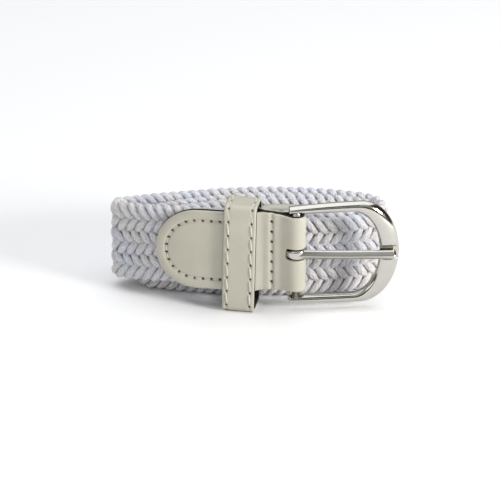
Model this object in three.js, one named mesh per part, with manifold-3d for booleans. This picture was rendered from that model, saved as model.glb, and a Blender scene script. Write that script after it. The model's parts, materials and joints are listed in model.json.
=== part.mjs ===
// Elastic stretch belt, rolled up and standing on its edge: a braided band in flat turns, with a
// leather buckle end, a loose leather keeper, a rounded buckle with its prong, and a leather tip.
// Millimetres, +X to the right, +Y to the back, +Z up; the roll stands on z = 0.
import * as THREE from "three";
import { mergeVertices } from "three/addons/utils/BufferGeometryUtils.js";
import Module from "manifold-3d";

const wasm = await Module();
wasm.setup();
const { sin, cos, tan, atan, max, min, PI } = Math;
const rad = THREE.MathUtils.degToRad;
const smoothstep = THREE.MathUtils.smoothstep;

// Gap kept between pieces that touch, and between the turns of the roll
const clearance = 0.3;

// Braided band
const bandWidth = 29.5;
const bandThickness = 4.2;

// Roll: depth of the turns that stand on the surface, and how far the outer turn reaches each way
const rollDepth = 32;
const leftReach = 55.9;
const rightReach = 37.9;

// Round ends of the turns, from the outside in. Reach is a share of the roll's reach on that side,
// depth a share of the roll's depth from the front, and bend the radius of the band's middle line.
const roundEnds = [
  { side: -1, reach: 1.0, depth: 0.344, bend: 3.4 },
  { side: 1, reach: 1.0, depth: 0.5, bend: 8.9 },
  { side: -1, reach: 0.832, depth: 0.344, bend: 2.6 },
  { side: 1, reach: 0.881, depth: 0.5, bend: 4.4 },
  { side: -1, reach: 0.606, depth: 0.384, bend: 2.4 },
  { side: 1, reach: 0.599, depth: 0.5, bend: 2.4 },
];

// The inner front turns lean back at the top, most in the middle of the roll
const innerLean = rad(6);

// Buckle end: the outer run comes forward, and is held up off the surface
const buckleYaw = rad(10);
const barPastMiddle = 7.2;
const buckleLift = 7.8;
const liftRun = 111;
const slack = 0.6;

// Buckle leather: a front leaf with a round end, folded round the bar into a short back leaf. It
// tapers a little towards the fold. Between the bar and the band its leaves are pressed together.
const leatherWidth = 30;
const leatherFoldWidth = 28.4;
const leatherTaper = 14;
const leatherThickness = 1.7;
const frontLeafLength = 49;
const backLeafLength = 21;
const pressedFrom = 6;
const pressedTo = 11;
const foldLength = 16.5;

// Keeper
const keeperWidth = 11.4;
const keeperThickness = 1.7;
const keeperFromBar = 19.2;
const keeperHeadroom = 1.3;
const keeperBend = 1.0;
const keeperTilt = rad(1.4);

// Free end, inside the roll
const tipLength = 28;
const endRunLength = 15;

// Buckle frame, measured from the middle of its bar. It hangs a little lower than the leather.
const barRadius = 1.5;
const frameInside = 31.4;
const frameDrop = 1.2;
const armWidth = 3.5;
const armRootWidth = 2.6;
const armEnd = 2.5;
const frameReach = 36.3;
const windowReach = 29.5;
const frameThickness = 3.2;
const frameBevel = 1.05;
const endRounding = 13.5;
const windowRounding = 10;
const frameYaw = rad(6.5);

// Prong: its end lies at the bottom of the frame's notch, which leaves it some room
const prongWidth = 3.3;
const prongThickness = 2.7;
const prongReach = 35.2;
const prongBevel = 0.7;
const eyeWall = 2.0;
const notchDepth = 1.3;
const notchRoom = 0.8;
const slotSide = 0.55;

const pitch = bandThickness + clearance;
const frontOf = (turn) => bandThickness / 2 + turn * pitch;
const backOf = (turn) => rollDepth - frontOf(turn);

// From the roll's middle to a round end runs one long arc, which meets the end's small arc. Half is
// how far the run crosses the middle in front of or behind the end's centre.
function longArc(reach, half, bend) {
  const turn = 2 * atan((half - bend) / (reach - bend));
  return { turn, radius: bend + (reach - bend) / sin(turn) };
}

const ends = roundEnds.map((end) => ({
  side: end.side,
  reach: end.reach * (end.side < 0 ? leftReach : rightReach),
  depth: end.depth * rollDepth,
  bend: end.bend,
}));

// The outer front run stands off the next turn by the leather and keeper between them
const standOff = pitch + leatherThickness + keeperThickness + 3 * clearance + slack;
const firstArc = longArc(ends[0].reach, ends[0].depth - frontOf(0) + standOff, ends[0].bend);
const straight = (barPastMiddle + firstArc.radius * sin(buckleYaw)) / cos(buckleYaw);

// Middle line of the band in plan, from the buckle's bar inwards, as runs of a length and a radius,
// 0 for the straight one. Every bend turns clockwise seen from above.
const runs = [{ length: straight, radius: 0 }];
const addArc = (radius, turn) => runs.push({ length: radius * turn, radius });
addArc(firstArc.radius, firstArc.turn - buckleYaw);
let arriving = firstArc;
ends.forEach((end, i) => {
  const turn = Math.floor(i / 2);
  const halfFrom = (depth) => (end.side < 0 ? backOf(turn) - depth : depth - frontOf(turn));
  const leaving = longArc(end.reach, halfFrom(end.depth), end.bend);
  addArc(end.bend, PI - arriving.turn - leaving.turn);
  addArc(leaving.radius, leaving.turn);
  const next = ends[i + 1];
  if (!next) return;
  arriving = longArc(next.reach, halfFrom(next.depth), next.bend);
  addArc(arriving.radius, arriving.turn);
});
const innerFront = longArc(ends[4].reach, ends[4].depth - frontOf(1), ends[4].bend);
runs.push({ length: endRunLength, radius: innerFront.radius - pitch });

const pathLength = runs.reduce((sum, run) => sum + run.length, 0);
const outerTurn = runs.slice(0, 4).reduce((sum, run) => sum + run.length, 0);
const bandStart = foldLength;
const bandEnd = pathLength - tipLength - clearance;

// Place on the path: plan position and heading at s, by walking the runs
const tangent = {
  x: -firstArc.radius * sin(buckleYaw),
  y: frontOf(0) - standOff + firstArc.radius * (1 - cos(buckleYaw)),
};
const bar = {
  x: tangent.x + straight * cos(buckleYaw),
  y: tangent.y - straight * sin(buckleYaw),
  z: buckleLift + bandWidth / 2,
};
function placeAt(s) {
  const place = { x: bar.x, y: bar.y, heading: PI - buckleYaw };
  let left = s;
  for (const run of runs) {
    const step = min(left, run.length);
    if (run.radius === 0) {
      place.x += step * cos(place.heading);
      place.y += step * sin(place.heading);
    } else {
      const next = place.heading - step / run.radius;
      place.x += run.radius * (sin(place.heading) - sin(next));
      place.y += run.radius * (cos(next) - cos(place.heading));
      place.heading = next;
    }
    left -= step;
    if (left <= 0) break;
  }
  return place;
}

// How high the band stands at s
function liftAt(s) {
  return buckleLift * (1 - smoothstep(s, straight, straight + liftRun)) ** 2;
}

// How far the band leans in for each millimetre of height: only where it runs along the front,
// and not as far out as the round ends of the innermost turn
function leanAt(s, place) {
  if (s < outerTurn) return 0;
  const facingFront = max(0, -cos(place.heading));
  const inner = ends[place.x < 0 ? 4 : 5];
  const share = place.x / (inner.reach - inner.bend);
  return tan(innerLean) * facingFront * max(0, 1 - share ** 2) ** 2;
}

// Point at s along the path, out from the band's middle line and up from the band's lower edge
function bandPoint(s, out, up) {
  const place = placeAt(s);
  const shift = out - leanAt(s, place) * up;
  const x = place.x - sin(place.heading) * shift;
  const y = place.y + cos(place.heading) * shift;
  return new THREE.Vector3(x, y, liftAt(s) + up);
}

// Stations along the path, closer together where it bends
function stations(from, to, longest, bend) {
  const list = [from];
  while (list[list.length - 1] < to) {
    const s = list[list.length - 1];
    const turned = (step) => placeAt(s).heading - placeAt(min(to, s + step)).heading;
    let step = longest;
    while (turned(step) > bend && step > longest / 8) step *= 0.8;
    list.push(to - s < 1.2 * step ? to : s + step);
  }
  return list;
}

// Closed body through rings of points, capped at both ends
function loft(rings) {
  const size = rings[0].length;
  const index = [];
  for (let i = 0; i < rings.length - 1; i++) {
    for (let j = 0; j < size; j++) {
      const a = i * size + j;
      const b = i * size + ((j + 1) % size);
      index.push(a, b, b + size, a, b + size, a + size);
    }
  }
  const last = (rings.length - 1) * size;
  for (let j = 1; j < size - 1; j++) {
    index.push(0, j + 1, j);
    index.push(last, last + j, last + j + 1);
  }
  const points = rings.flat().flatMap((p) => [p.x, p.y, p.z]);
  const geometry = new THREE.BufferGeometry();
  geometry.setAttribute("position", new THREE.Float32BufferAttribute(points, 3));
  geometry.setIndex(index);
  return geometry;
}

// Solids for joining and cutting
function solid(geometry) {
  const bare = geometry.clone();
  bare.deleteAttribute("normal");
  bare.deleteAttribute("uv");
  const merged = mergeVertices(bare, 1e-4);
  const vertProperties = Float32Array.from(merged.attributes.position.array);
  const triVerts = Uint32Array.from(merged.index.array);
  return new wasm.Manifold(new wasm.Mesh({ numProp: 3, vertProperties, triVerts }));
}
function geometryOf(body) {
  const mesh = body.getMesh();
  const geometry = new THREE.BufferGeometry();
  geometry.setAttribute("position", new THREE.Float32BufferAttribute(mesh.vertProperties, 3));
  geometry.setIndex(Array.from(mesh.triVerts));
  return geometry;
}

// Braided band: a flat strap with round edges, from inside the buckle leather to the tip. The edge's
// lowest and highest facets lie level with the full width.
function bandGeometry() {
  const round = bandThickness / 2;
  const steps = 5;
  const upright = round / cos(PI / (2 * steps));
  const section = [];
  for (const [start, centre] of [[PI, round], [0, bandWidth - round]]) {
    for (let i = 0; i <= steps; i++) {
      const angle = start + (i / steps) * PI;
      section.push({ out: round * cos(angle), up: centre + upright * sin(angle) });
    }
  }
  const rings = stations(bandStart, bandEnd, 4.5, rad(17)).map((s) =>
    section.map((p) => bandPoint(s, p.out, p.up)));
  return loft(rings);
}

// Leather strip along a plan line of places, each with the strip's height there
function stripGeometry(line, thickness) {
  const rings = line.map((here, i) => {
    const before = line[max(0, i - 1)];
    const after = line[min(line.length - 1, i + 1)];
    const along = new THREE.Vector3(after.x - before.x, after.y - before.y, 0).normalize();
    const out = new THREE.Vector3(-along.y, along.x, 0).multiplyScalar(thickness / 2);
    const [low, high] = [here.z - here.half, here.z + here.half];
    return [
      new THREE.Vector3(here.x - out.x, here.y - out.y, low),
      new THREE.Vector3(here.x + out.x, here.y + out.y, low),
      new THREE.Vector3(here.x + out.x, here.y + out.y, high),
      new THREE.Vector3(here.x - out.x, here.y - out.y, high),
    ];
  });
  return loft(rings);
}

// Shares of a round end: along the strip, and the height left there
function roundEnd(length, half) {
  const steps = 9;
  return Array.from({ length: steps }, (_, i) => {
    const angle = rad(88) * ((i + 1) / steps);
    return { s: length - half + half * sin(angle), half: half * cos(angle) };
  });
}

// Buckle leather: out along the front leaf, round the bar, and back behind the band. The slot lets
// the prong's eye through.
const eyeRadius = barRadius + clearance + eyeWall;
const atFold = barRadius + clearance + leatherThickness / 2;
const atBand = bandThickness / 2 + clearance + leatherThickness / 2;
const atPressed = (leatherThickness + clearance) / 2;
const leatherOut = (s) =>
  atFold + (atPressed - atFold) * smoothstep(s, 0, pressedFrom)
  + (atBand - atPressed) * smoothstep(s, pressedTo, foldLength);
const leatherHalf = (s) =>
  (leatherFoldWidth + (leatherWidth - leatherFoldWidth) * smoothstep(s, 0, leatherTaper)) / 2;
function buckleLeatherGeometry() {
  const half = leatherWidth / 2;
  const at = (s, side, high) => {
    const p = bandPoint(s, side * leatherOut(s), bandWidth / 2);
    return { x: p.x, y: p.y, z: p.z, half: high };
  };
  const back = stations(0, backLeafLength, 1.5, rad(8)).reverse();
  const front = stations(0, frontLeafLength - half, 1.5, rad(8));
  const folds = 10;
  const line = [
    ...back.map((s) => at(s, -1, leatherHalf(s))),
    ...Array.from({ length: folds - 1 }, (_, i) => {
      const angle = PI / 2 - buckleYaw - ((i + 1) / folds) * PI;
      const [x, y] = [bar.x + atFold * cos(angle), bar.y + atFold * sin(angle)];
      return { x, y, z: bar.z, half: leatherHalf(0) };
    }),
    ...front.map((s) => at(s, 1, leatherHalf(s))),
    ...roundEnd(frontLeafLength, half).map((e) => at(e.s, 1, e.half)),
  ];
  const slotRadius = eyeRadius + clearance;
  const slot = new THREE.CylinderGeometry(slotRadius, slotRadius, prongWidth + 2 * slotSide, 40);
  slot.rotateX(PI / 2).translate(bar.x, bar.y, bar.z);
  return geometryOf(solid(stripGeometry(line, leatherThickness)).subtract(solid(slot)));
}

// Rounded rectangle, as a shape or as a hole
function roundedRectangle(outline, left, right, low, high, bend) {
  outline.moveTo(left + bend, low);
  outline.lineTo(right - bend, low);
  outline.absarc(right - bend, low + bend, bend, -PI / 2, 0);
  outline.lineTo(right, high - bend);
  outline.absarc(right - bend, high - bend, bend, 0, PI / 2);
  outline.lineTo(left + bend, high);
  outline.absarc(left + bend, high - bend, bend, PI / 2, PI);
  outline.lineTo(left, low + bend);
  outline.absarc(left + bend, low + bend, bend, PI, 1.5 * PI);
  return outline;
}

// Keeper: a loose flat ring of leather round both leaves, standing on the surface
function keeperGeometry() {
  const place = placeAt(keeperFromBar);
  const inner = atBand + leatherThickness / 2 + clearance;
  const outer = inner + keeperThickness;
  const low = (keeperWidth / 2) * sin(keeperTilt);
  const roof = liftAt(keeperFromBar) + (bandWidth + leatherWidth) / 2 + keeperHeadroom;
  const bend = keeperBend + keeperThickness;
  const ring = roundedRectangle(new THREE.Shape(), -outer, outer, low, roof + keeperThickness, bend);
  const floor = low + keeperThickness;
  ring.holes.push(roundedRectangle(new THREE.Path(), -inner, inner, floor, roof, keeperBend));
  const geometry = new THREE.ExtrudeGeometry(ring, {
    depth: keeperWidth, bevelEnabled: false, curveSegments: 5,
  });
  const out = new THREE.Vector3(-sin(place.heading), cos(place.heading), 0);
  const along = new THREE.Vector3(cos(place.heading), sin(place.heading), 0);
  const up = new THREE.Vector3(0, 0, cos(keeperTilt)).addScaledVector(along, -sin(keeperTilt));
  const across = new THREE.Vector3().crossVectors(out, up);
  geometry.translate(0, -roof / 2, -keeperWidth / 2);
  geometry.applyMatrix4(new THREE.Matrix4().makeBasis(out, up, across));
  geometry.translate(place.x, place.y, roof / 2);
  return geometry;
}

// Leather tip of the free end: one plain strip as thick as the band, with a round end
function tipGeometry() {
  const half = bandWidth / 2;
  const start = pathLength - tipLength;
  const at = (s, high) => {
    const low = bandPoint(s, 0, bandWidth / 2 - high);
    const top = bandPoint(s, 0, bandWidth / 2 + high);
    const thick = bandPoint(s, bandThickness / 2, 0).sub(bandPoint(s, 0, 0));
    return [low.clone().sub(thick), low.clone().add(thick), top.clone().add(thick),
      top.clone().sub(thick)];
  };
  const flat = stations(start, pathLength - half, 3, rad(8));
  const rounded = roundEnd(tipLength, half).map((e) => at(start + e.s, e.half));
  return loft([...flat.map((s) => at(s, half)), ...rounded]);
}

// The buckle's own axes: away from the bar, up, and out to the front
const buckleAxes = new THREE.Matrix4().makeRotationZ(frameYaw)
  .multiply(new THREE.Matrix4().makeRotationX(PI / 2))
  .setPosition(bar.x, bar.y, bar.z);

// Buckle frame: an open D with thicker round end, its bar, and a notch for the prong
function frameGeometry() {
  const inside = frameInside / 2;
  const outside = inside + armWidth;
  const outerEnd = frameReach - endRounding;
  const innerEnd = windowReach - windowRounding;
  const outline = new THREE.Shape();
  outline.moveTo(-armEnd, inside);
  outline.lineTo(innerEnd, inside);
  outline.absellipse(innerEnd, 0, windowRounding, inside, PI / 2, -PI / 2, true);
  outline.lineTo(-armEnd, -inside);
  outline.lineTo(-armEnd, -inside - armRootWidth);
  outline.quadraticCurveTo(outerEnd / 2, -outside, outerEnd, -outside);
  outline.absellipse(outerEnd, 0, endRounding, outside, -PI / 2, PI / 2, false);
  outline.quadraticCurveTo(outerEnd / 2, outside, -armEnd, inside + armRootWidth);
  const geometry = new THREE.ExtrudeGeometry(outline, {
    depth: frameThickness - 2 * frameBevel,
    bevelThickness: frameBevel,
    bevelSize: frameBevel,
    bevelOffset: -frameBevel,
    bevelSegments: 3,
    curveSegments: 20,
  });
  geometry.translate(0, 0, frameBevel - frameThickness / 2);
  const rod = new THREE.CylinderGeometry(barRadius, barRadius, 2 * inside + armRootWidth, 20);
  const notchStart = windowReach - prongWidth;
  const notch = new THREE.BoxGeometry(
    prongReach + clearance - notchStart,
    prongWidth + 2 * (notchRoom + clearance),
    2 * notchDepth,
  );
  notch.translate((prongReach + clearance + notchStart) / 2, 0, frameThickness / 2);
  const body = solid(geometry).add(solid(rod)).subtract(solid(notch));
  return geometryOf(body).translate(0, -frameDrop, 0).applyMatrix4(buckleAxes);
}

// Prong: an eye round the bar and a rod that runs from the eye's front into the frame's notch
function prongGeometry() {
  const dip = atan((frameDrop + notchRoom) / prongReach);
  const back = frameThickness / 2 - notchDepth + clearance;
  const rounding = prongThickness / 2;
  const profile = new THREE.Shape();
  profile.moveTo(0, eyeRadius - prongThickness);
  profile.lineTo(prongReach - rounding, back);
  profile.absarc(prongReach - rounding, back + rounding, rounding, -PI / 2, PI / 2);
  profile.lineTo(0, eyeRadius);
  const rod = new THREE.ExtrudeGeometry(profile, {
    depth: prongWidth - 2 * prongBevel,
    bevelThickness: prongBevel,
    bevelSize: prongBevel,
    bevelOffset: -prongBevel,
    bevelSegments: 2,
    curveSegments: 5,
  });
  rod.translate(0, 0, prongBevel - prongWidth / 2).rotateX(PI / 2).rotateZ(-dip);
  const eye = new THREE.CylinderGeometry(eyeRadius, eyeRadius, prongWidth, 24);
  const bore = new THREE.CylinderGeometry(eyeRadius - eyeWall, eyeRadius - eyeWall, 2 * prongWidth, 24);
  const body = solid(rod).add(solid(eye)).subtract(solid(bore));
  return geometryOf(body).applyMatrix4(buckleAxes);
}

const finish = (color, roughness, metalness) =>
  new THREE.MeshStandardMaterial({ color, roughness, metalness, flatShading: true });
const braid = finish(0xd9dbe6, 0.8, 0);
const leather = finish(0xd2cfc0, 0.45, 0);
const polishedMetal = finish(0xc9c7c2, 0.12, 1);

const belt = new THREE.Group();
function addPiece(name, geometry, material) {
  const mesh = new THREE.Mesh(geometry, material);
  mesh.name = name;
  belt.add(mesh);
}
addPiece("braided_band", bandGeometry(), braid);
addPiece("buckle_leather", buckleLeatherGeometry(), leather);
addPiece("keeper_loop", keeperGeometry(), leather);
addPiece("tip_leather", tipGeometry(), leather);
addPiece("buckle_frame", frameGeometry(), polishedMetal);
addPiece("prong", prongGeometry(), polishedMetal);

// Origin at the middle of the whole belt's footprint, on the surface it stands on
const bounds = new THREE.Box3().setFromObject(belt);
const middle = bounds.getCenter(new THREE.Vector3());
belt.position.set(-middle.x, -middle.y, -bounds.min.z);

export default belt;
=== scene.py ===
# Elastic stretch belt, rolled up flat and standing on its edge, with its leather buckle end in
# front.
# Each piece is modelled at its real size, in metres.
import json
from math import atan, cos, exp, hypot, pi, radians, sin, sqrt, tan

import bmesh
import bpy
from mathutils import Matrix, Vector, noise


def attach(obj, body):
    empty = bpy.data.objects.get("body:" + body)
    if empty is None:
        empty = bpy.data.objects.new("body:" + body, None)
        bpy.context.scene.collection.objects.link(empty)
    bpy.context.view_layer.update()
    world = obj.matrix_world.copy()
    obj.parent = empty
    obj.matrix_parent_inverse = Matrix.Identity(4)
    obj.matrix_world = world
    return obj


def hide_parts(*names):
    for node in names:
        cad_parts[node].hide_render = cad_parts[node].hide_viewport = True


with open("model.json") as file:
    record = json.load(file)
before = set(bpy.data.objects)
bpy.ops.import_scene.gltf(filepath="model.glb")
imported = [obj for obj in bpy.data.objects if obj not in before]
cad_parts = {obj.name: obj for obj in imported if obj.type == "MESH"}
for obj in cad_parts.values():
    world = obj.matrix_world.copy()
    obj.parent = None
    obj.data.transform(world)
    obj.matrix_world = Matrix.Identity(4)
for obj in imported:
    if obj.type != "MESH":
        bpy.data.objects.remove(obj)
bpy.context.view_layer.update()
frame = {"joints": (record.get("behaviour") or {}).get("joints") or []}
mm = 0.001

# Braided band: thirteen soft strands of covered elastic plaited flat, each over one row of the
# braid and under the next, with six rows across the band. It is rolled up in three flat turns, the
# outer one starting at the buckle's bar, and the plait turns over itself at both edges.
band_width = 29.5 * mm
band_thickness = 4.2 * mm
clearance = 0.3 * mm
roll_depth = 32 * mm
left_reach = 55.9 * mm
right_reach = 37.9 * mm
round_ends = [  # side, share of the reach, share of the depth, bend
    (-1, 1.0, 0.344, 3.4 * mm),
    (1, 1.0, 0.5, 8.9 * mm),
    (-1, 0.832, 0.344, 2.6 * mm),
    (1, 0.881, 0.5, 4.4 * mm),
    (-1, 0.606, 0.384, 2.4 * mm),
    (1, 0.599, 0.5, 2.4 * mm),
]
inner_lean = radians(6)
buckle_yaw = radians(10)
bar_past_middle = 7.2 * mm
buckle_lift = 7.8 * mm
lift_run = 111 * mm
fold_length = 16.5 * mm
tip_length = 28 * mm
end_run_length = 15 * mm
bar = Vector(frame["joints"][0]["pos_m"])

leather_thickness = 1.7 * mm
keeper_thickness = 1.7 * mm
slack = 0.6 * mm
turn_pitch = band_thickness + clearance
stand_off = turn_pitch + leather_thickness + keeper_thickness + 3 * clearance + slack


def front_of(turn):
    return band_thickness / 2 + turn * turn_pitch


def long_arc(reach, half, bend):
    """Turn and radius of the long arc from the roll's middle to a round end"""
    turn = 2 * atan((half - bend) / (reach - bend))
    return turn, bend + (reach - bend) / sin(turn)


def smooth_step(value, low, high):
    share = min(1, max(0, (value - low) / (high - low)))
    return share * share * (3 - 2 * share)


ends = [
    (side, reach * (left_reach if side < 0 else right_reach), depth * roll_depth, bend)
    for side, reach, depth, bend in round_ends
]
arriving = long_arc(ends[0][1], ends[0][2] - front_of(0) + stand_off, ends[0][3])
straight = (bar_past_middle + arriving[1] * sin(buckle_yaw)) / cos(buckle_yaw)
runs = [(straight, 0), (arriving[1] * (arriving[0] - buckle_yaw), arriving[1])]
for number, (side, reach, depth, bend) in enumerate(ends):
    front = front_of(number // 2)
    back = roll_depth - front
    leaving = long_arc(reach, back - depth if side < 0 else depth - front, bend)
    runs.append((bend * (pi - arriving[0] - leaving[0]), bend))
    runs.append((leaving[1] * leaving[0], leaving[1]))
    if number + 1 < len(ends):
        _, reach, depth, bend = ends[number + 1]
        arriving = long_arc(reach, back - depth if side < 0 else depth - front, bend)
        runs.append((arriving[1] * arriving[0], arriving[1]))
inner_front = long_arc(ends[4][1], ends[4][2] - front_of(1), ends[4][3])
runs.append((end_run_length, inner_front[1] - turn_pitch))
path_length = sum(length for length, _ in runs)
outer_turn = sum(length for length, _ in runs[:4])
band_start = fold_length
band_end = path_length - tip_length - clearance


def place_at(s):
    """Plan position and heading of the band's middle line, s along it from the buckle's bar"""
    x, y, heading = bar.x, bar.y, pi - buckle_yaw
    for length, radius in runs:
        step = min(s, length)
        if radius:
            onward = heading - step / radius
            x += radius * (sin(heading) - sin(onward))
            y += radius * (cos(onward) - cos(heading))
            heading = onward
        else:
            x += step * cos(heading)
            y += step * sin(heading)
        s -= step
        if s <= 0:
            break
    return x, y, heading


def lift_at(s):
    return buckle_lift * (1 - smooth_step(s, straight, straight + lift_run)) ** 2


def lean_at(s, x, heading):
    if s < outer_turn:
        return 0
    x -= bar.x - bar_past_middle
    _, reach, _, bend = ends[4 if x < 0 else 5]
    return tan(inner_lean) * max(0, -cos(heading)) * max(0, 1 - (x / (reach - bend)) ** 2) ** 2


def band_point(s, out, up):
    """Point s along the band, out from its middle line and up from its lower edge"""
    x, y, heading = place_at(s)
    shift = out - lean_at(s, x, heading) * up
    return Vector((x - sin(heading) * shift, y + cos(heading) * shift, lift_at(s) + up))


strands = 13
pick = 3.55 * mm
row_height = 4.45 * mm
strand_height = 1.0 * mm
strand_width = 1.38 * mm
rise = band_thickness / 2 - strand_height
edge_turn = 1.25
edge_bend = 2 * (strands / 4 - (band_width / 2 - strand_height) / row_height)


def weave(phase):
    """A strand's height from the band's middle, its way out, and how far from the edge it runs"""
    phase %= strands
    rising = phase > strands / 2
    from_top = strands - phase if rising else phase
    from_edge = min(from_top, strands / 2 - from_top)
    inward = from_edge if from_edge > edge_bend else (from_edge**2 / edge_bend + edge_bend) / 2
    height = (strands / 4 - inward) * row_height
    if from_top > strands / 4:
        height = -height
    if from_edge < edge_turn:
        wave = from_edge / edge_turn
    else:
        wave = from_edge - edge_turn + 1
    over = sin(pi * wave)
    if from_top > strands / 4:
        over = -over
    return height, (over if rising else -over), from_edge, rising


def strand_ring(s, phase, end):
    """Centre, sideways and outward half-widths of a strand's section"""
    def centre_at(along):
        height, over, _, _ = weave(along / pick + phase)
        drift = noise.noise(Vector((along / (9 * mm), phase * 7.3, 2.1)))
        return band_point(along, over * rise, band_width / 2 + height * (1 + 0.012 * drift))
    _, over, from_edge, rising = weave(s / pick + phase)
    step = 0.06 * mm
    tangent = (centre_at(s + step) - centre_at(s - step)).normalized()
    _, _, heading = place_at(s)
    outward = Vector((-sin(heading), cos(heading), 0))
    roll = pi / 2 * (1 - smooth_step(from_edge, 0, 0.8))
    facing = outward * (cos(roll) if rising else -cos(roll)) + Vector((0, 0, sin(roll)))
    sideways = tangent.cross(facing).normalized()
    facing = sideways.cross(tangent)
    swell = 1 + 0.07 * noise.noise(Vector((s / (6 * mm), phase * 3.7, 9.4)))
    wide = strand_width * (0.86 + 0.16 * abs(over)) * swell * end
    return centre_at(s), sideways * wide, facing * strand_height * end


def mapped_grid(bm, columns, rows, place, uv_place=None):
    """Adds a grid and moves its corner in column i and row j to place(i, j)"""
    vertices = bmesh.ops.create_grid(bm, x_segments=columns, y_segments=rows, size=1)["verts"]
    corner = {vertex: (round((vertex.co.x + 1) / 2 * columns), round((vertex.co.y + 1) / 2 * rows))
              for vertex in vertices}
    for vertex, (i, j) in corner.items():
        vertex.co = place(i, j)
    if uv_place:
        layer = bm.loops.layers.uv.verify()
        for face in {face for vertex in vertices for face in vertex.link_faces}:
            for loop in face.loops:
                loop[layer].uv = uv_place(*corner[loop.vert])
    return corner


def add_piece(name, bm, material, body, nodes=()):
    """Makes the bmesh a smooth closed piece that rides on a CAD body"""
    bmesh.ops.remove_doubles(bm, verts=bm.verts, dist=2e-7)
    bmesh.ops.recalc_face_normals(bm, faces=bm.faces)
    for face in bm.faces:
        face.smooth = True
    mesh = bpy.data.meshes.new(name)
    bm.to_mesh(mesh)
    bm.free()
    mesh.materials.append(material)
    piece = bpy.data.objects.new(name, mesh)
    bpy.context.collection.objects.link(piece)
    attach(piece, body)
    if nodes:
        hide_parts(*nodes)
    return piece


class Value:
    """A shader socket whose arithmetic adds Math nodes"""

    def __init__(self, finish, socket):
        self.finish = finish
        self.socket = socket

    def math(self, operation, *values):
        return self.finish.node("Math", {"operation": operation}, dict(enumerate(values)))

    def __add__(self, other):
        return self.math("ADD", self, other)

    def __sub__(self, other):
        return self.math("SUBTRACT", self, other)

    def __rsub__(self, other):
        return self.math("SUBTRACT", other, self)

    def __mul__(self, other):
        return self.math("MULTIPLY", self, other)

    def __pow__(self, other):
        return self.math("POWER", self, other)

    __radd__ = __add__
    __rmul__ = __mul__

    def sine(self):
        return self.math("SINE", self)

    def size(self):
        return self.math("ABSOLUTE", self)


class Finish:
    """A Principled material, or the world with its Background, and the nodes that shape it"""

    def __init__(self, name, world=None, **uniform):
        self.material = world or bpy.data.materials.new(name)
        self.material.use_nodes = True
        self.tree = self.material.node_tree
        self.surface = self.tree.nodes["Background" if world else "Principled BSDF"]
        for socket, value in uniform.items():
            self.surface.inputs[socket.replace("_", " ")].default_value = value

    def node(self, kind, settings, inputs, output=0):
        node = self.tree.nodes.new("ShaderNode" + kind)
        stops = settings.pop("stops", None)
        for setting, value in settings.items():
            setattr(node, setting, value)
        if stops:
            ramp = node.color_ramp.elements
            while len(ramp) < len(stops):
                ramp.new(0.5)
            for element, (position, colour) in zip(ramp, stops):
                element.position = position
                element.color = (*colour, 1)
        for socket, value in inputs.items():
            self.feed(node.inputs[socket], value)
        return Value(self, node.outputs[output])

    def feed(self, socket, value):
        if isinstance(value, Value):
            self.tree.links.new(value.socket, socket)
        elif hasattr(value, "__len__") and len(value) == 3 and socket.type == "RGBA":
            socket.default_value = (*value, 1)
        else:
            socket.default_value = value

    def mix(self, share, low, high):
        return self.node("Mix", {"data_type": "RGBA"}, {0: share, 6: low, 7: high}, 2)

    def ramp(self, value, *stops):
        return self.node("ValToRGB", {"stops": list(stops)}, {"Fac": value})

    def object_place(self):
        return self.node("TexCoord", {}, {}, "Object")

    def noise(self, place, scale, detail=3.0, roughness=0.5):
        return self.node("TexNoise", {}, {"Vector": place, "Scale": scale, "Detail": detail,
                                          "Roughness": roughness})

    def split(self, vector, axis):
        return self.node("SeparateXYZ", {}, {"Vector": vector}, axis)

    def attribute(self, name):
        return self.node("Attribute", {"attribute_name": name}, {}, "Fac")

    def give(self, **varying):
        for socket, value in varying.items():
            self.feed(self.surface.inputs[socket.replace("_", " ")], value)

    def bump(self, height, strength, distance):
        self.give(Normal=self.node("Bump", {}, {
            "Height": height, "Strength": strength, "Distance": distance}, "Normal"))


braid = Finish("soft_white_strand", Roughness=0.55, Sheen_Weight=0.35, Sheen_Roughness=0.4,
               Specular_IOR_Level=0.45)
cover = braid.node("UVMap", {}, {}, "UV")
lengthwise = braid.split(cover, "X") * (pi / (1.25 * mm))
around = braid.split(cover, "Y") * (5 * pi)
plait = ((lengthwise + around).sine() * (lengthwise - around).sine()).size() ** 0.6
stretched = braid.node("Mapping", {}, {"Vector": cover, "Scale": (300, 24, 1)})
fibre = braid.noise(stretched, 1.0, 3.0, 0.6)
tuft = braid.noise(braid.object_place(), 900, 2.0)
tint = braid.ramp(braid.noise(braid.object_place(), 75, 2.0), (0.38, (0, 0, 0)), (0.62, (1, 1, 1)))
white = braid.mix(tint, (0.69, 0.71, 0.79), (0.74, 0.72, 0.71))
# Painted shade: the strands' colour goes to the darker grey in the creases of the plait. The fibre
# and tuft noise also vary it at random between that grey and white, as the strands' own tone.
crease_shade_and_fibre_tone = plait * 0.25 + fibre * 1.0 + tuft * 0.4
braid.give(Base_Color=braid.mix(braid.ramp(crease_shade_and_fibre_tone, (0.45, (0, 0, 0)), (0.98, (1, 1, 1))),
                                (0.44, 0.43, 0.45), white))
braid.bump(plait * 0.4 + fibre * 0.9 + tuft * 0.3, 0.8, 0.0005)

ring_step = pick / 8
sides = 12
rings = round((band_end - band_start) / ring_step)


def strand_group(numbers):
    """One piece with some of the strands, each a closed tube with a rounded end"""
    bm = bmesh.new()
    for number in numbers:
        sections = []
        for ring in range(rings + 1):
            s = band_start + (band_end - band_start) * ring / rings
            into = min(ring, rings - ring) / 3
            sections.append(strand_ring(s, number, sqrt(1 - (1 - min(1, into)) ** 2)))

        def place(i, j):
            centre, sideways, facing = sections[i]
            angle = 2 * pi * j / sides
            return centre + sideways * cos(angle) + facing * sin(angle)

        mapped_grid(bm, rings, sides, place,
                    lambda i, j: (i * ring_step + number * 0.137, j / sides + number * 0.31))
    return bm


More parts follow.
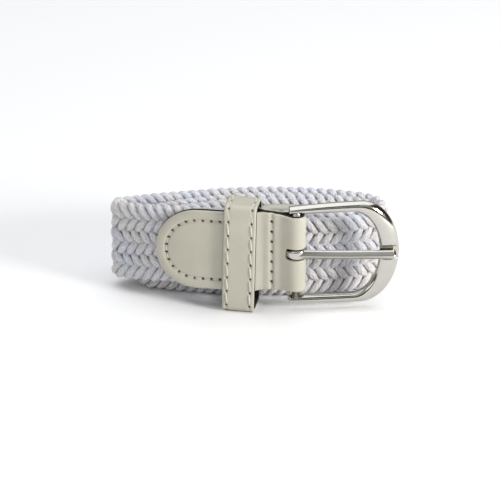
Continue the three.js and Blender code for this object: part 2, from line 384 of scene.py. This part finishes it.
add_piece("strands_outer", strand_group(range(0, strands, 3)), braid.material, "belt",
          ["braided_band"])
add_piece("strands_middle", strand_group(range(1, strands, 3)), braid.material, "belt")
add_piece("strands_inner", strand_group(range(2, strands, 3)), braid.material, "belt")

# Buckle leather: one cream leather strip with a thin black lining, folded round the bar. Its long
# front leaf has a round end and is sewn to the band near its edge, its short back leaf lies behind
# the band, and a seam across both holds the bar in the fold. The prong comes out through a slot.
leather_width = 30 * mm
leather_fold_width = 28.4 * mm
leather_taper = 14 * mm
pressed_from = 6 * mm
pressed_to = 11 * mm
front_leaf = 49 * mm
back_leaf = 21 * mm
bar_radius = 1.5 * mm
eye_wall = 2.0 * mm
slot_reach = 3.45 * mm
slot_half = 3.3 * mm / 2 + 0.55 * mm
lining_thickness = 0.5 * mm
at_fold = bar_radius + clearance + leather_thickness / 2
at_band = band_thickness / 2 + clearance + leather_thickness / 2
at_pressed = (leather_thickness + clearance) / 2
fold_arc = pi * at_fold
strip_length = back_leaf + fold_arc + front_leaf
half_width = leather_width / 2
stitch_inset = 3.9 * mm
stitch_pitch = 2.9 * mm
seam_from_bar = 8.4 * mm
keeper_from_bar = 19.2 * mm


def strip_place(q):
    """Middle of the strip's thickness q along it from the back end, and the way its face looks"""
    if back_leaf < q < back_leaf + fold_arc:
        angle = pi / 2 - buckle_yaw - pi * (q - back_leaf) / fold_arc
        facing = Vector((cos(angle), sin(angle), 0))
        return bar + facing * at_fold, facing
    side = 1 if q > back_leaf else -1
    s = q - back_leaf - fold_arc if side > 0 else back_leaf - q
    middle = band_point(s, 0, band_width / 2)
    _, _, heading = place_at(s)
    facing = Vector((-sin(heading), cos(heading), 0)) * side
    out = (at_fold + (at_pressed - at_fold) * smooth_step(s, 0, pressed_from)
           + (at_band - at_pressed) * smooth_step(s, pressed_to, fold_length))
    return middle + facing * out, facing


def half_at(q):
    """Half the strip's width, which tapers towards the fold and ends in a half circle"""
    into = q - (strip_length - half_width)
    if into > 0:
        return sqrt(max(0, half_width**2 - into**2))
    from_fold = max(0, q - back_leaf - fold_arc, back_leaf - q)
    wider = (leather_width - leather_fold_width) * smooth_step(from_fold, 0, leather_taper)
    return (leather_fold_width + wider) / 2


def from_edge_at(q, h):
    """Distance from the strip's cut edge"""
    into = q - (strip_length - half_width)
    return min(half_width - hypot(into, h) if into > 0 else half_at(q) - abs(h), q)


# Holes of the leaf's stitching, as (q, h): along the top, round the end and back along the bottom
inner_half = half_width - stitch_inset
leaf_start = back_leaf + fold_arc + keeper_from_bar + 4 * mm
end_middle = strip_length - half_width
leaf_run = end_middle - leaf_start
leaf_line = 2 * leaf_run + pi * inner_half
leaf_count = round(leaf_line / stitch_pitch)


def leaf_stitch(share):
    along = share * leaf_line
    if along < leaf_run:
        return leaf_start + along, inner_half
    if along > leaf_run + pi * inner_half:
        return leaf_start + leaf_line - along, -inner_half
    angle = pi / 2 - (along - leaf_run) / inner_half
    return end_middle + inner_half * cos(angle), inner_half * sin(angle)


leaf_holes = [leaf_stitch(number / leaf_count) for number in range(leaf_count + 1)]
seam_q = back_leaf + fold_arc + seam_from_bar
seam_pitch = 3.83 * mm
seam_holes = [(seam_q, (number - 3) * seam_pitch) for number in range(7)]
holes = leaf_holes + seam_holes

pit_depth = 0.45 * mm
pit_size = 0.55 * mm
groove_depth = 0.45 * mm
groove_size = 0.7 * mm
rim_height = 0.3 * mm


def hollow(distance, size):
    return exp(-((distance / size) ** 2))


def relief(q, h):
    """How far the strip's face stands proud, and how deep it lies in a stitch hole, whose mask also
    paints the hole dark as shade
    """
    edge = from_edge_at(q, h)
    height = -0.5 * mm * max(0, 1 - edge / (0.7 * mm)) ** 2
    s = q - back_leaf - fold_arc
    rim = rim_height * smooth_step(s, keeper_from_bar - 4 * mm, keeper_from_bar)
    if edge > 0:
        height += rim * sin(pi * min(1, edge / stitch_inset)) ** 0.8
    height -= rim * hollow(edge - stitch_inset, 0.6 * mm)
    height -= groove_depth * hollow(s - seam_from_bar, groove_size)
    # Stitch holes: the face sinks into each one, and the same mask also paints the hole dark as the
    # shade inside it
    pit = 0
    for hole_q, hole_h in holes:
        if abs(hole_q - q) < 1.2 * mm and abs(hole_h - h) < 1.2 * mm:
            away = hypot(hole_q - q, hole_h - h)
            pit = max(pit, smooth_step(hollow(away, pit_size), 0.25, 0.7))
    return height - pit_depth * pit, pit


def spaced(low, high, step, fixed=()):
    """Even stations from low to high, with the nearest ones moved onto the fixed places"""
    count = round((high - low) / step)
    stations = [low + (high - low) * number / count for number in range(count + 1)]
    for place in fixed:
        nearest = min(range(count + 1), key=lambda number: abs(stations[number] - place))
        stations[nearest] = place
    return stations


fold_end = back_leaf + fold_arc
slot_from, slot_to = back_leaf - slot_reach, fold_end + slot_reach
slot_bend = 1.3 * mm
q_stations = (spaced(0, fold_end, 0.6 * mm, (slot_from,))[:-1]
              + spaced(fold_end, end_middle, 0.3 * mm)
              + [end_middle + half_width * sin(pi / 2 * number / 44) for number in range(1, 45)])
slot_side = 2 * slot_half / leather_fold_width
h_stations = spaced(-1, 1, 0.3 * mm / half_width, (-slot_side, slot_side))


def strip_sheet(outer, faced, wider):
    """The strip as a sheet at one depth, with a slot a little wider; faced adds its face's relief"""
    corner_q = slot_to + wider - slot_bend

    def past_corner(q, h):
        return max(0, q - corner_q), max(0, abs(h) - slot_half + slot_bend)

    bm = bmesh.new()
    hole_shade_layer = bm.verts.layers.float.new("pit")
    depth = {}

    def place(i, j):
        q = q_stations[i]
        h = h_stations[j] * half_at(q)
        middle, facing = strip_place(q)
        height, depth[i, j] = relief(q, h) if faced else (0, 0)
        return middle + facing * (outer + height) + Vector((0, 0, h))

    corner = mapped_grid(bm, len(q_stations) - 1, len(h_stations) - 1, place)
    # Each corner keeps its stitch hole mask, which the leather's colour uses as painted shade
    for vertex, key in corner.items():
        vertex[hole_shade_layer] = depth[key]

    def in_slot(face):
        keys = [corner[vertex] for vertex in face.verts]
        q = sum(q_stations[i] for i, _ in keys) / 4
        h = sum(h_stations[j] * half_at(q_stations[i]) for i, j in keys) / 4
        return slot_from - wider < q and hypot(*past_corner(q, h)) < slot_bend

    bmesh.ops.delete(bm, geom=[face for face in bm.faces if in_slot(face)], context="FACES")
    for vertex, (i, j) in corner.items():
        if not vertex.is_valid or not vertex.is_boundary:
            continue
        q, h = q_stations[i], h_stations[j] * half_at(q_stations[i])
        beyond, beside = past_corner(q, h)
        if 0 < beyond < 1.4 * slot_bend and beside < 1.4 * slot_bend:
            onto = slot_bend / hypot(beyond, beside)
            q += beyond * (onto - 1)
            h += beside * (onto - 1) * (1 if h > 0 else -1)
            middle, facing = strip_place(q)
            vertex.co = middle + facing * (outer + relief(q, h)[0] * faced) + Vector((0, 0, h))
    return bm


def thicken(piece, thickness, offset):
    wall = piece.modifiers.new("wall", "SOLIDIFY")
    wall.thickness = thickness
    wall.offset = offset
    wall.use_even_offset = False


cream = Finish("cream_leather", Roughness=0.4, Coat_Weight=0.12, Coat_Roughness=0.3,
               Specular_IOR_Level=0.5)
grain = cream.node("TexVoronoi", {"feature": "F1"}, {
    "Vector": cream.object_place(), "Scale": 1500.0, "Randomness": 1.0}, "Distance")
cloud = cream.noise(cream.object_place(), 120, 3.0)
pore = cream.noise(cream.object_place(), 2600, 2.0)
tone = cream.mix(cloud, (0.45, 0.43, 0.35), (0.53, 0.51, 0.43))
# Painted shade: the stitch holes are painted near black, as the shade that falls inside them
cream.give(Base_Color=cream.mix(cream.attribute("pit"), tone, (0.025, 0.02, 0.012)),
           Roughness=0.36 + cloud * 0.12)
cream.bump(grain * 0.5 + pore * 0.3, 0.25, 0.00012)

black = Finish("black_lining", Roughness=0.7, Specular_IOR_Level=0.3)
nap = black.noise(black.object_place(), 1800, 2.0)
black.give(Base_Color=black.mix(nap, (0.008, 0.008, 0.009), (0.03, 0.03, 0.032)))
black.bump(nap, 0.4, 0.0001)

face = add_piece("buckle_leather_face", strip_sheet(leather_thickness / 2, True, 0), cream.material,
                 "belt", ["buckle_leather"])
thicken(face, leather_thickness - lining_thickness, -1)
lining = add_piece("buckle_leather_lining",
                   strip_sheet(lining_thickness - leather_thickness / 2 - 0.02 * mm, False, 0.5 * mm),
                   black.material, "belt")
thicken(lining, lining_thickness, -1)


def stitch_row(bm, points, facing_at, radius, slant=0.0):
    """Adds a thread from each hole to the next, sunk at both ends"""
    for (start, facing), (end, next_facing) in zip(points, points[1:]):
        outward = ((facing + next_facing) / 2).normalized()
        run = end - start
        sideways = outward.cross(run.normalized())
        run = run + sideways * (slant * run.length)
        middle = (start + end) / 2 + outward * facing_at
        half = run.length / 2 * 0.8
        axis = run.normalized()
        sideways = outward.cross(axis)
        beads = bmesh.ops.create_uvsphere(bm, u_segments=12, v_segments=8, radius=1)["verts"]
        for vertex in beads:
            x, y, z = vertex.co
            vertex.co = middle + axis * (z * half) + sideways * (x * radius) + outward * (y * radius)


def strip_point(q, h):
    middle, facing = strip_place(q)
    height, pit = relief(q, h)
    height += pit_depth * pit
    return middle + facing * (leather_thickness / 2 + height) + Vector((0, 0, h)), facing


thread = Finish("cream_thread", Roughness=0.6, Sheen_Weight=0.2)
twist = thread.noise(thread.object_place(), 2200, 2.0)
thread.give(Base_Color=thread.mix(twist, (0.50, 0.48, 0.40), (0.66, 0.64, 0.56)))
thread.bump(twist, 0.5, 0.0001)

bm = bmesh.new()
stitch_row(bm, [strip_point(*hole) for hole in leaf_holes], 0.06 * mm, 0.24 * mm)
stitch_row(bm, [strip_point(*hole) for hole in seam_holes], 0.0, 0.17 * mm)
add_piece("buckle_leather_stitches", bm, thread.material, "belt")

# Keeper: a loose ring of the same leather with a black lining, sewn along both edges, that holds
# the strap's end when the belt is worn. It stands on the surface and is a little tall for the strap.
keeper_width = 11.4 * mm
keeper_headroom = 1.3 * mm
keeper_bend = 1.0 * mm
keeper_tilt = radians(1.4)
keeper_stitch_inset = 1.6 * mm
keeper_pitch = 5.4 * mm
keeper_x, keeper_y, keeper_heading = place_at(keeper_from_bar)
keeper_inner = at_band + leather_thickness / 2 + clearance
keeper_low = keeper_width / 2 * sin(keeper_tilt)
keeper_roof = (lift_at(keeper_from_bar) + (band_width + leather_width) / 2 + keeper_headroom
               + keeper_thickness)
keeper_out = Vector((-sin(keeper_heading), cos(keeper_heading), 0))
keeper_along = Vector((cos(keeper_heading), sin(keeper_heading), 0))
keeper_up = Vector((0, 0, cos(keeper_tilt))) - keeper_along * sin(keeper_tilt)
keeper_across = keeper_out.cross(keeper_up)
keeper_middle = Vector((keeper_x, keeper_y, (keeper_roof - keeper_thickness) / 2))


def ring_place(share, depth):
    """Point on the keeper's ring, depth in from its outer face, and the way the face looks there"""
    half_out = keeper_inner + keeper_thickness
    half_up = (keeper_roof - keeper_low) / 2
    bend = keeper_bend + keeper_thickness
    turned = (bend * pi / 2, 1)
    sides_of_ring = [(2 * (half_up - bend), 0), turned, (2 * (half_out - bend), 0), turned] * 2
    along = share % 1 * sum(length for length, _ in sides_of_ring)
    place = Vector((half_out, -(half_up - bend)))
    heading = pi / 2
    for length, bends in sides_of_ring:
        step = min(along, length)
        if bends:
            onward = heading + step / bend
            place += Vector((sin(onward) - sin(heading), cos(heading) - cos(onward))) * bend
            heading = onward
        else:
            place += Vector((cos(heading), sin(heading))) * step
        along -= step
        if along <= 0:
            break
    normal = Vector((sin(heading), -cos(heading)))
    place -= normal * depth
    middle_up = keeper_low + half_up - (keeper_roof - keeper_thickness) / 2
    facing = keeper_out * normal.x + keeper_up * normal.y
    return keeper_middle + keeper_out * place.x + keeper_up * (place.y + middle_up), facing


ring_length = 4 * (keeper_inner + keeper_thickness) + 2 * (keeper_roof - keeper_low) - (
    8 - 2 * pi) * (keeper_bend + keeper_thickness)
ring_count = round(ring_length / keeper_pitch)
keeper_lines = [-(keeper_width / 2 - keeper_stitch_inset), keeper_width / 2 - keeper_stitch_inset]


def keeper_relief(share, across):
    edge = keeper_width / 2 - abs(across)
    height = -0.4 * mm * max(0, 1 - edge / (0.6 * mm)) ** 2
    height -= 0.16 * mm * hollow(edge - keeper_stitch_inset, 0.4 * mm)
    # Stitch holes along both seams: the face sinks into each one, and the same mask also paints the
    # hole dark as shade
    nearest = (share * ring_count + 0.5) % 1 - 0.5
    away = hypot(nearest / ring_count * ring_length, edge - keeper_stitch_inset)
    pit = smooth_step(hollow(away, 0.45 * mm), 0.25, 0.7)
    return height - pit_depth * pit, pit


def ring_sheet(depth, faced):
    bm = bmesh.new()
    hole_shade_layer = bm.verts.layers.float.new("pit")
    columns, rows = 336, 44
    sunk = {}

    def place(i, j):
        share = i / columns
        across = keeper_width * (j / rows - 0.5)
        height, sunk[i, j] = keeper_relief(share, across) if faced else (0, 0)
        point, facing = ring_place(share, depth - height)
        return point + keeper_across * across

    # Each corner keeps its stitch hole mask, which the leather's colour uses as painted shade
    for vertex, key in mapped_grid(bm, columns, rows, place).items():
        vertex[hole_shade_layer] = sunk[key]
    return bm


keeper_face = add_piece("keeper_face", ring_sheet(0, True), cream.material, "belt",
                        ["keeper_loop"])
thicken(keeper_face, keeper_thickness - lining_thickness, -1)
keeper_lining = add_piece("keeper_lining",
                          ring_sheet(keeper_thickness - lining_thickness + 0.02 * mm, False),
                          black.material, "belt")
thicken(keeper_lining, lining_thickness, -1)

bm = bmesh.new()
for across in keeper_lines:
    line = []
    for number in range(ring_count + 1):
        height, pit = keeper_relief(number / ring_count, across)
        point, facing = ring_place(number / ring_count, -height - pit_depth * pit)
        line.append((point + keeper_across * across, facing))
    stitch_row(bm, line, 0.2 * mm, 0.36 * mm, 0.12)
add_piece("keeper_stitches", bm, thread.material, "belt")

# Tip: a plain leather end, as thick as the band, that closes the braid and passes through the
# buckle when the belt is put on. Here it lies inside the roll.
tip_start = path_length - tip_length


def tip_section(s):
    into = s - (path_length - band_width / 2)
    return sqrt(max(0, (band_width / 2) ** 2 - into**2)) if into > 0 else band_width / 2


tip_stations = spaced(tip_start, path_length - band_width / 2, 0.5 * mm) + [
    path_length - band_width / 2 * (1 - sin(pi / 2 * number / 30)) for number in range(1, 31)]
tip_sides = 64
tip_lip = 0.6 * mm
tip_edge_round = 1.1 * mm


def tip_place(i, j):
    s = tip_stations[i]
    half = tip_section(s)
    angle = 2 * pi * j / tip_sides
    start = min(1, (s - tip_start) / tip_lip + 0.55)
    up = half * max(-1, min(1, 1.02 * sin(angle)))
    edge = half - abs(up)
    rounding = min(1, sqrt(max(0, edge / tip_edge_round)) + 0.25 * (half > 0))
    thick = band_thickness / 2 * start * rounding
    return band_point(s, thick * max(-1, min(1, 6 * cos(angle))), band_width / 2 + up)


bm = bmesh.new()
# The tip has no stitch holes, so its painted hole shade is zero everywhere
bm.verts.layers.float.new("pit")
mapped_grid(bm, len(tip_stations) - 1, tip_sides, tip_place)
bmesh.ops.remove_doubles(bm, verts=bm.verts, dist=1e-6)
bmesh.ops.holes_fill(bm, edges=[edge for edge in bm.edges if edge.is_boundary], sides=0)
add_piece("tip_leather_cover", bm, cream.material, "belt", ["tip_leather"])

# Buckle frame: cast metal, polished all over, in a D that is open at the bar. Its front is rounded
# with a fine bevel round the window, it widens towards the round end, and a notch takes the prong.
frame_inside = 31.4 * mm
frame_drop = 1.2 * mm
arm_width = 3.5 * mm
arm_root_width = 2.6 * mm
arm_end = 2.5 * mm
frame_reach = 36.3 * mm
window_reach = 29.5 * mm
frame_thickness = 3.2 * mm
end_rounding = 13.5 * mm
window_rounding = 10 * mm
frame_yaw = radians(6.5)
prong_width = 3.3 * mm
prong_thickness = 2.7 * mm
prong_reach = 35.2 * mm
notch_depth = 1.3 * mm
notch_room = 0.8 * mm
frame_away = Vector((cos(frame_yaw), sin(frame_yaw), 0))
frame_front = Vector((sin(frame_yaw), -cos(frame_yaw), 0))


def on_frame(away, up, front):
    """Point in the buckle's own axes: away from the bar, up, and out to the front"""
    return bar + frame_away * away + Vector((0, 0, up)) + frame_front * front


arm_share = 0.45
root_closing = 0.22 * mm


def d_outline(reach, rounding, half, root, share):
    """Point on one half of a D, from its arm's end at share 0 to the middle of its round end at 1"""
    start = reach - rounding
    if share < arm_share:
        t = share / arm_share
        away = -arm_end + (start + arm_end) * t
        return away, root + (half - root) * (1 - (1 - t) ** 2)
    angle = pi / 2 * (1 - (share - arm_share) / (1 - arm_share))
    return start + rounding * cos(angle), half * sin(angle)


bevel = 0.75 * mm
crown = 15


def frame_section(width):
    """Points round the frame's section: across from the window's edge, and front"""
    half = frame_thickness / 2
    points = [(0, 0.3 * mm - half), (0, 0.2 * half), (0.1 * mm, 0.3 * half), (bevel, 0.78 * half)]
    for number in range(1, crown + 1):
        share = sin(pi / 2 * number / crown)
        lift = share / 0.36 if share < 0.36 else (share - 0.36) / 0.64
        if share < 0.36:
            front = half * (0.8 + 0.2 * sin(pi / 2 * lift))
        else:
            front = half * (1.5 * sqrt(max(0, 1 - lift * lift)) - 0.5)
        points.append((bevel + (width - bevel) * share, front))
    points += [(width - 0.1 * mm, 0.35 * mm - half), (width - 0.5 * mm, -half),
               (0.5 * mm, -half), (0.15 * mm, 0.1 * mm - half)]
    return points


steel = Finish("polished_buckle", Metallic=1.0)
rub = steel.noise(steel.object_place(), 260, 5.0, 0.7)
fine = steel.noise(steel.object_place(), 2400, 2.0)
steel.give(Base_Color=steel.mix(rub, (0.50, 0.485, 0.44), (0.59, 0.575, 0.53)),
           Roughness=0.07 + rub * 0.1)
steel.bump(fine * 0.2 + rub, 0.03, 0.0001)

notch_half = prong_width / 2 + notch_room + clearance
notch_middle = prong_reach - 1.0 * mm
notch_lip = 0.7 * mm
bm = bmesh.new()
section_size = len(frame_section(arm_width))
arm_steps = 110
shares = [1 - (1 - number / arm_steps) ** 1.25 for number in range(arm_steps + 1)]
walk = [(share, 1) for share in shares] + [(share, -1) for share in reversed(shares[:-1])]


def frame_place(i, j):
    share, side = walk[i]
    inner = d_outline(window_reach, window_rounding, frame_inside / 2,
                      frame_inside / 2 - root_closing, share)
    outer = d_outline(frame_reach, end_rounding, frame_inside / 2 + arm_width,
                      frame_inside / 2 + arm_root_width, share)
    width = hypot(outer[0] - inner[0], outer[1] - inner[1])
    across, front = frame_section(width)[j % section_size]
    t = across / width
    away, up = inner[0] + (outer[0] - inner[0]) * t, inner[1] + (outer[1] - inner[1]) * t
    within = notch_half - hypot(up, max(0, away - notch_middle))
    if within > 0:
        front = min(front, frame_thickness / 2 - notch_depth * smooth_step(within, 0, notch_lip))
    return on_frame(away, up * side - frame_drop, front)


mapped_grid(bm, len(walk) - 1, section_size, frame_place)
bmesh.ops.remove_doubles(bm, verts=bm.verts, dist=1e-6)
bmesh.ops.holes_fill(bm, edges=[edge for edge in bm.edges if edge.is_boundary], sides=0)
rod = bmesh.ops.create_cone(bm, cap_ends=True, segments=32, radius1=bar_radius, radius2=bar_radius,
                            depth=frame_inside + arm_root_width)["verts"]
bmesh.ops.translate(bm, verts=rod, vec=bar - Vector((0, 0, frame_drop)))
add_piece("buckle_frame_polished", bm, steel.material, "buckle", ["buckle_frame"])

# Prong: a polished rod with a ridge along its front, bent round the bar in an eye at one end, whose
# other end rests in the frame's notch.
eye_radius = bar_radius + clearance + eye_wall
prong_bow = 0.4 * mm
prong_dip = (frame_drop + notch_room) / prong_reach
prong_back = frame_thickness / 2 - notch_depth + clearance
rod_sides = 32
rod_steps = 90
tip_rounding = 1.2 * mm
root_rounding = 0.5 * mm
eye_steps = 72
eye_sides = 28
eye_narrowest = 0.45


def rod_place(i, j):
    share = i / rod_steps
    away = prong_reach * share
    near_tip = min(1, (prong_reach - away) / tip_rounding)
    near_eye = min(1, away / root_rounding)
    close = sqrt(1 - (1 - near_tip) ** 2) * sqrt(1 - (1 - near_eye) ** 2)
    angle = 2 * pi * j / rod_sides
    x, y = cos(angle), sin(angle)
    square = 0.62 if y < 0 else 1.7
    up = prong_width / 2 * abs(x) ** square * (1 if x > 0 else -1)
    front = prong_thickness / 2 * (abs(y) ** square if y > 0 else -abs(y) ** square)
    rear = eye_radius - prong_thickness + (prong_back - eye_radius + prong_thickness) * share
    rear += prong_bow * sin(pi * share)
    return on_frame(away, up * close - prong_dip * away, rear + prong_thickness / 2 + front * close)


def eye_place(i, j):
    angle = 2 * pi * i / eye_steps
    turn = 2 * pi * j / eye_sides
    inner = bar_radius + clearance
    across = abs(cos(turn)) ** 0.5 * (1 if cos(turn) > 0 else -1)
    out = inner + eye_wall / 2 * (1 + across)
    up = prong_width / 2 * abs(sin(turn)) ** 0.5 * (1 if sin(turn) > 0 else -1)
    away = out * cos(angle)
    if away < 0:
        up *= max(eye_narrowest, sqrt(max(0, 1 - (away / (1.05 * eye_radius)) ** 2)))
    return on_frame(away, up, out * sin(angle))


bm = bmesh.new()
mapped_grid(bm, rod_steps, rod_sides, rod_place)
bmesh.ops.remove_doubles(bm, verts=bm.verts, dist=1e-6)
mapped_grid(bm, eye_steps, eye_sides, eye_place)
add_piece("prong_polished", bm, steel.material, "tongue", ["prong"])

# Studio: a plain white floor under soft light from above and from both sides, with a dark card
# to the right and a small one above the front for the metal to reflect.
floor_bm = bmesh.new()
bmesh.ops.create_grid(floor_bm, x_segments=1, y_segments=1, size=3)
floor_mesh = bpy.data.meshes.new("floor")
floor_bm.to_mesh(floor_mesh)
floor_bm.free()
paper = Finish("white_paper", Roughness=0.9, Specular_IOR_Level=0.1)
mottle = paper.noise(paper.object_place(), 3.0)
paper.give(Base_Color=paper.mix(mottle, (0.93, 0.93, 0.94), (0.95, 0.95, 0.95)))
floor_mesh.materials.append(paper.material)
floor = bpy.data.objects.new("floor", floor_mesh)
bpy.context.collection.objects.link(floor)

world = bpy.data.worlds.new("studio")
studio = Finish("studio", world)
direction = studio.node("TexCoord", {}, {}, "Generated")
side, depth, height = (studio.split(direction, axis) for axis in "XYZ")
sky = studio.ramp(height, (0.0, (0.2, 0.18, 0.15)), (0.2, (0.10, 0.085, 0.06)),
                  (0.42, (0.6, 0.6, 0.6)), (0.9, (0.95, 0.97, 1.0)))
dark_right = studio.ramp(side, (0.55, (0, 0, 0)), (0.68, (1, 1, 1)))
sky = studio.mix(dark_right, sky, (0.09, 0.065, 0.04))
flag = (studio.ramp((side - 0.172).size(), (0.035, (1, 1, 1)), (0.05, (0, 0, 0)))
        * studio.ramp((height - 0.78).size(), (0.12, (1, 1, 1)), (0.16, (0, 0, 0)))
        * studio.ramp(0 - depth, (0.2, (0, 0, 0)), (0.3, (1, 1, 1))))
studio.give(Color=studio.mix(flag, sky, (0.02, 0.015, 0.005)), Strength=0.65)
bpy.context.scene.world = world


def soft_light(name, position, target, size, power, colour):
    data = bpy.data.lights.new(name, "AREA")
    data.shape = "RECTANGLE"
    data.size, data.size_y = size
    data.energy = power
    data.color = colour
    light = bpy.data.objects.new(name, data)
    light.location = position
    light.rotation_euler = (Vector(target) - Vector(position)).to_track_quat("-Z", "Y").to_euler()
    bpy.context.collection.objects.link(light)


soft_light("overhead", (0.0, 0.12, 0.65), (0, 0, 0), (1.2, 0.9), 3.7, (0.96, 0.98, 1.0))
soft_light("right_front", (0.52, -0.33, 0.22), (0, 0, 0.02), (0.14, 0.14), 3.6, (1.0, 0.98, 0.95))
soft_light("left_front", (-0.45, -0.55, 0.25), (0, 0, 0.02), (0.3, 0.3), 0.35, (1.0, 0.97, 0.93))

view_target = Vector((-1.5 * mm, 0, 14.3 * mm))
view_rise = radians(25)
view_distance = 1.5
camera_data = bpy.data.cameras.new("camera")
camera_data.lens = 36 * view_distance / 0.1765
camera = bpy.data.objects.new("camera", camera_data)
camera.location = view_target + Vector((0, -cos(view_rise), sin(view_rise))) * view_distance
camera.rotation_euler = (pi / 2 - view_rise, 0, 0)
bpy.context.collection.objects.link(camera)
bpy.context.scene.camera = camera
bpy.context.scene.view_settings.view_transform = "Standard"
